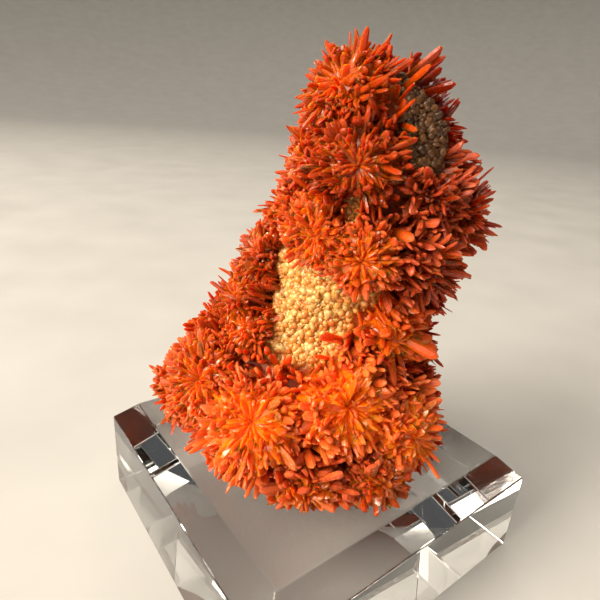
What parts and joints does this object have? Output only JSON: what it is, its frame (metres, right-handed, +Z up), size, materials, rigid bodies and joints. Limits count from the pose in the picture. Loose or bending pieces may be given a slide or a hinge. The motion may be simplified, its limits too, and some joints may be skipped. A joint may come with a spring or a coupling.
{
  "type": "calcite on matrix specimen",
  "caption": "Tall pale matrix rock overgrown by radiating sprays of orange-red calcite crystals, shown upright on a square clear acrylic block with bevelled top edges.",
  "frame": {"origin": "middle of the display block's underside, on the surface it stands on", "axes": "+Z up; X and Y along the block's sides; the specimen's front looks at the block's corner between -X and -Y"},
  "size_m": [0.05, 0.05, 0.078],
  "materials": {
    "clear_acrylic": "polished, clear",
    "pale_matrix": "sugary, dull",
    "orange_calcite": "glassy to waxy crystal faces"
  },
  "bodies": {
    "root": {"acrylic_block": "clear_acrylic", "matrix_rock": "pale_matrix", "crown_spray": "orange_calcite", "crown_right_spray": "orange_calcite", "crown_back_spray": "orange_calcite", "collar_spray": "orange_calcite", "collar_left_spray": "orange_calcite", "shoulder_spray": "orange_calcite", "heart_spray": "orange_calcite", "heart_right_spray": "orange_calcite", "arm_upper_spray": "orange_calcite", "arm_tip_spray": "orange_calcite", "arm_lower_spray": "orange_calcite", "elbow_spray": "orange_calcite", "right_blade_spray": "orange_calcite", "right_flank_spray": "orange_calcite", "right_skirt_spray": "orange_calcite", "right_corner_spray": "orange_calcite", "left_fan_spray": "orange_calcite", "left_flank_spray": "orange_calcite", "left_ridge_spray": "orange_calcite", "left_hip_spray": "orange_calcite", "left_foot_spray": "orange_calcite", "foot_rim_spray": "orange_calcite", "left_low_spray": "orange_calcite", "front_left_spray": "orange_calcite", "front_mid_spray": "orange_calcite", "front_right_spray": "orange_calcite", "front_bottom_spray": "orange_calcite", "right_bottom_spray": "orange_calcite", "back_arm_spray": "orange_calcite", "back_collar_spray": "orange_calcite", "back_left_spray": "orange_calcite", "back_heart_spray": "orange_calcite", "back_elbow_spray": "orange_calcite", "back_mid_spray": "orange_calcite", "back_right_spray": "orange_calcite", "back_foot_left_spray": "orange_calcite", "back_foot_spray": "orange_calcite", "back_foot_right_spray": "orange_calcite", "back_skirt_spray": "orange_calcite"}
  },
  "joints": []
}
